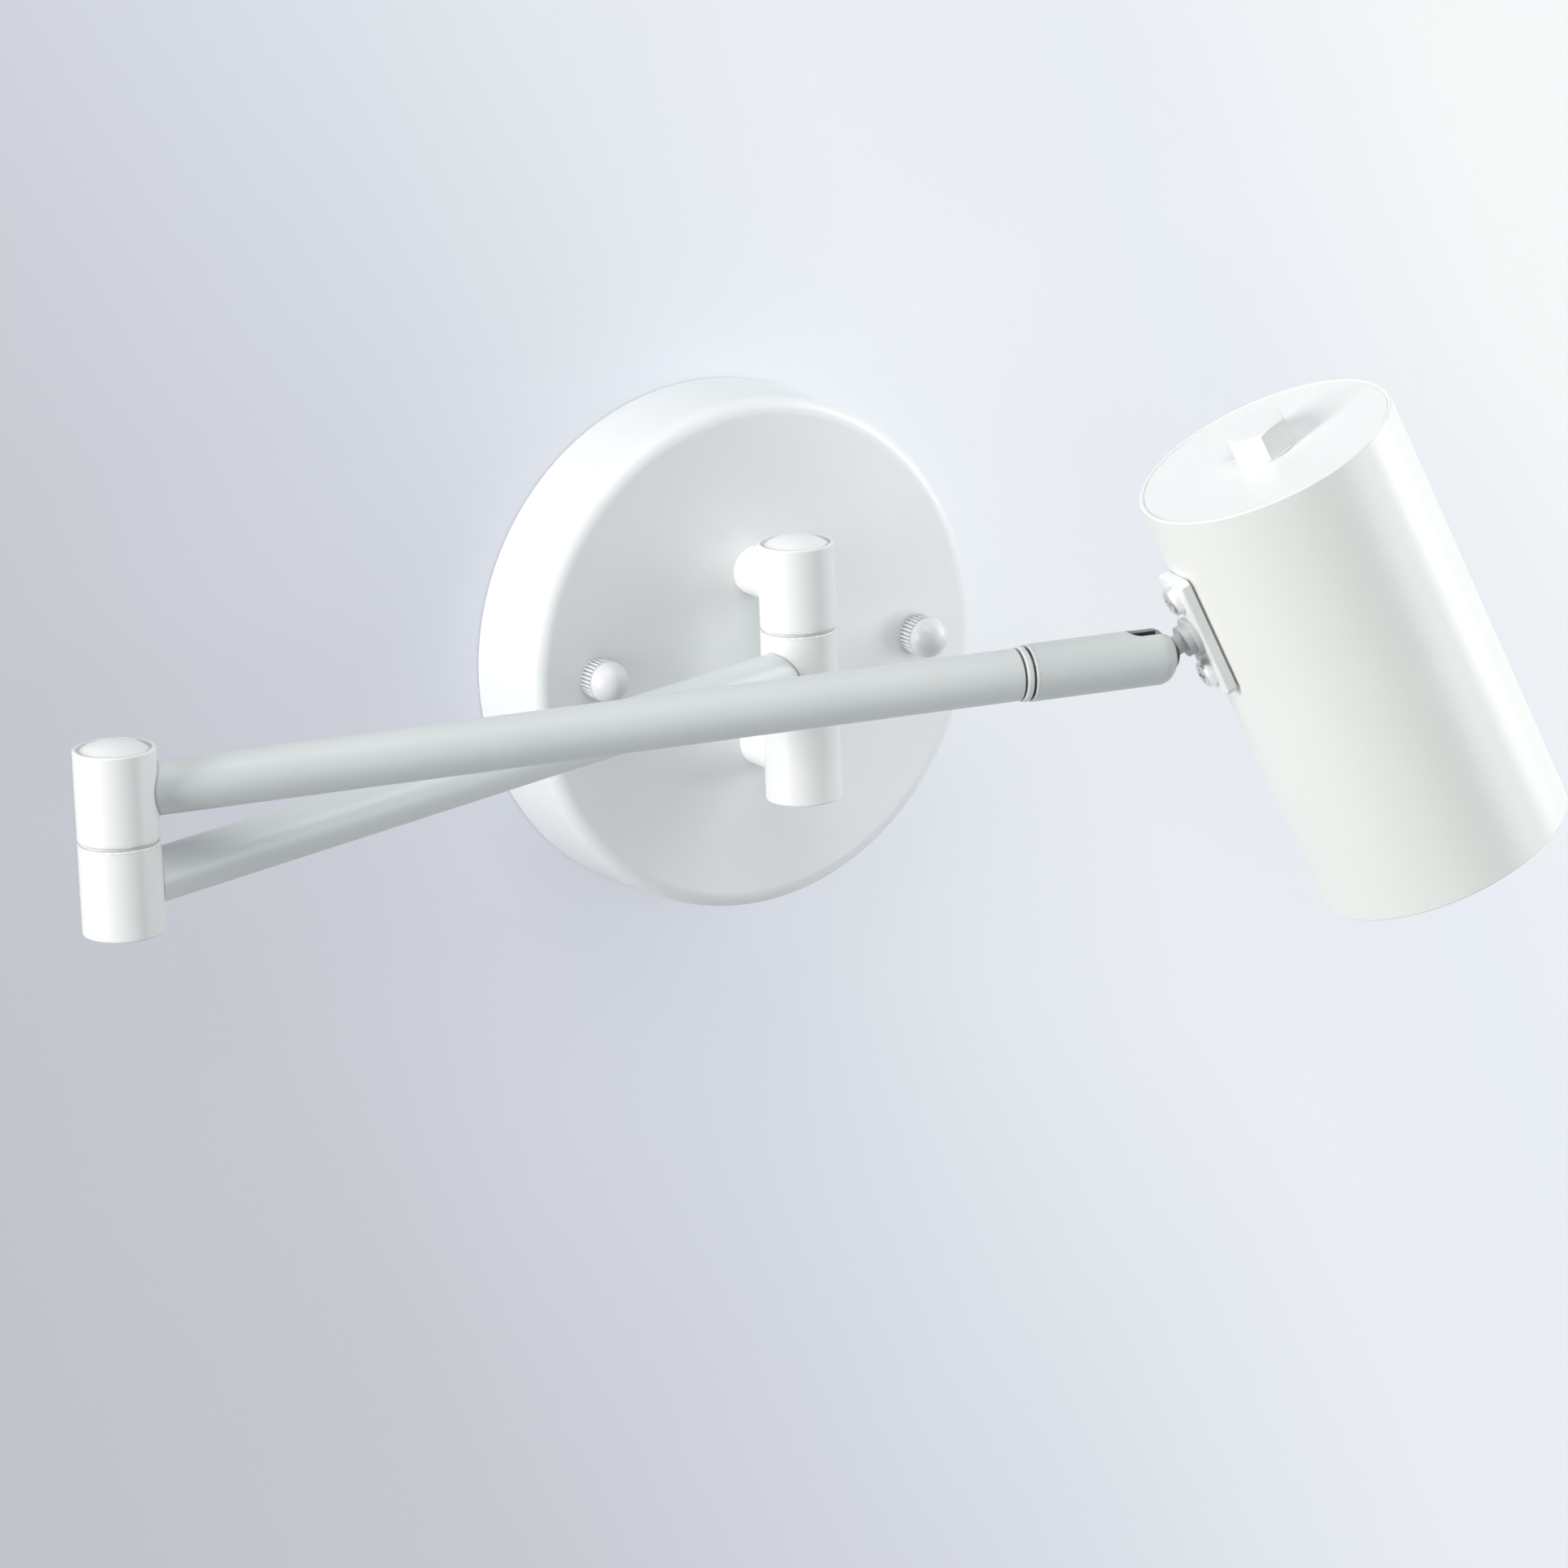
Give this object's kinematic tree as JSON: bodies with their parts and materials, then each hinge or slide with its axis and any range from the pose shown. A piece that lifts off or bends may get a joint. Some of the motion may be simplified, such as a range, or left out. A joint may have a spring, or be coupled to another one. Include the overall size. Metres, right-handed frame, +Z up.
{
  "type": "articulating wall lamp",
  "caption": "Wall lamp with a round canopy, a folding double arm on two barrel hinges and a swivelling, tilting cylinder shade.",
  "frame": {"origin": "centre of the canopy's back, on the wall plane", "axes": "+Z up, +Y into the wall, -Y out of the wall toward the room, +X right as seen from the room"},
  "size_m": [0.3305, 0.1883, 0.1343],
  "materials": {
    "white_paint": "smooth satin powder coat",
    "arm_paint": "smooth satin powder coat, a little greyer",
    "painted_fittings": "smooth satin paint on turned fittings",
    "screw_steel": "plated screw steel",
    "zinc_steel": "zinc plated",
    "brass": "turned",
    "white_nylon": "moulded",
    "black_nylon": "moulded",
    "block_plastic": "moulded",
    "ceramic": "pressed ceramic",
    "lamp_reflector": "bright coated",
    "lamp_glass": "frosted front glass",
    "lead_sleeve": "thin insulated wire"
  },
  "bodies": {
    "base": {"canopy": "white_paint", "crossbar": "zinc_steel", "canopy_screws": "zinc_steel", "cap_nuts": "painted_fittings", "earth_screw": "brass", "terminal_block": "block_plastic", "terminal_screws": "zinc_steel", "terminal_fixing_screw": "zinc_steel", "upper_knuckle": "white_paint", "lower_knuckle": "white_paint", "post_washers": "zinc_steel", "post_nuts": "zinc_steel", "hinge_pin": "zinc_steel", "hinge_pin_nuts": "zinc_steel", "hinge_spring_washer": "zinc_steel", "hinge_seam_washers": "white_nylon", "hinge_top_cap": "white_paint", "hinge_bottom_cap": "white_paint", "wall_leads": "lead_sleeve"},
    "inner_arm": {"inner_barrel": "white_paint", "inner_arm_tube": "arm_paint", "elbow_lower_barrel": "white_paint", "elbow_bottom_cap": "white_paint", "elbow_pin": "zinc_steel", "elbow_pin_nuts": "zinc_steel", "elbow_spring_washer": "zinc_steel", "elbow_seam_washer": "white_nylon", "inner_arm_leads": "lead_sleeve"},
    "outer_arm": {"elbow_upper_barrel": "white_paint", "elbow_top_cap": "white_paint", "outer_arm_tube": "arm_paint", "tube_end_bush": "white_nylon", "outer_arm_leads": "lead_sleeve"},
    "swivel_tip": {"swivel_tip": "arm_paint", "collar_ring": "painted_fittings", "tip_spigot": "zinc_steel", "spigot_clip": "zinc_steel", "ball_seat": "black_nylon", "seat_disc_springs": "zinc_steel"},
    "ball_stud": {"ball_stud": "painted_fittings", "stud_nut": "zinc_steel", "stud_spring_washer": "zinc_steel"},
    "shade_head": {"shade_bracket": "white_paint", "bracket_screws": "screw_steel", "bracket_nuts": "zinc_steel", "shade_tube": "white_paint", "shade_lid": "white_paint", "lid_hex_nut": "painted_fittings", "socket_pipe": "zinc_steel", "socket_pipe_nuts": "zinc_steel", "holder_strap": "zinc_steel", "lampholder": "ceramic", "holder_screws": "zinc_steel", "lamp_pins": "brass", "lamp_base": "ceramic", "lamp_reflector": "lamp_reflector", "lamp_lens": "lamp_glass", "shade_leads": "lead_sleeve"}
  },
  "joints": [
    {"name": "wall_hinge", "type": "hinge", "parent": "base", "child": "inner_arm", "pos_m": [0, -0.041, 0], "axis": [0, 0, 1], "range_deg": [-15.5, 164.5]},
    {"name": "elbow_hinge", "type": "hinge", "parent": "inner_arm", "child": "outer_arm", "pos_m": [-0.20333, -0.09739, 0], "axis": [0, 0, -1], "range_deg": [-2.3, 307.7]},
    {"name": "tip_swivel", "type": "hinge", "parent": "outer_arm", "child": "swivel_tip", "pos_m": [0.00615, -0.14115, 0.02], "axis": [0.9789, -0.2045, 0], "range_deg": [-170, 170]},
    {"name": "head_tilt", "type": "hinge", "parent": "swivel_tip", "child": "ball_stud", "pos_m": [0.02573, -0.14524, 0.02], "axis": [-0.2045, -0.9789, 0], "range_deg": [-45, 65]},
    {"name": "head_spin", "type": "hinge", "parent": "ball_stud", "child": "shade_head", "pos_m": [0.03559, -0.1473, 0.02442], "axis": [0.8963, -0.1872, 0.4019], "range_deg": [-90, 90]}
  ]
}
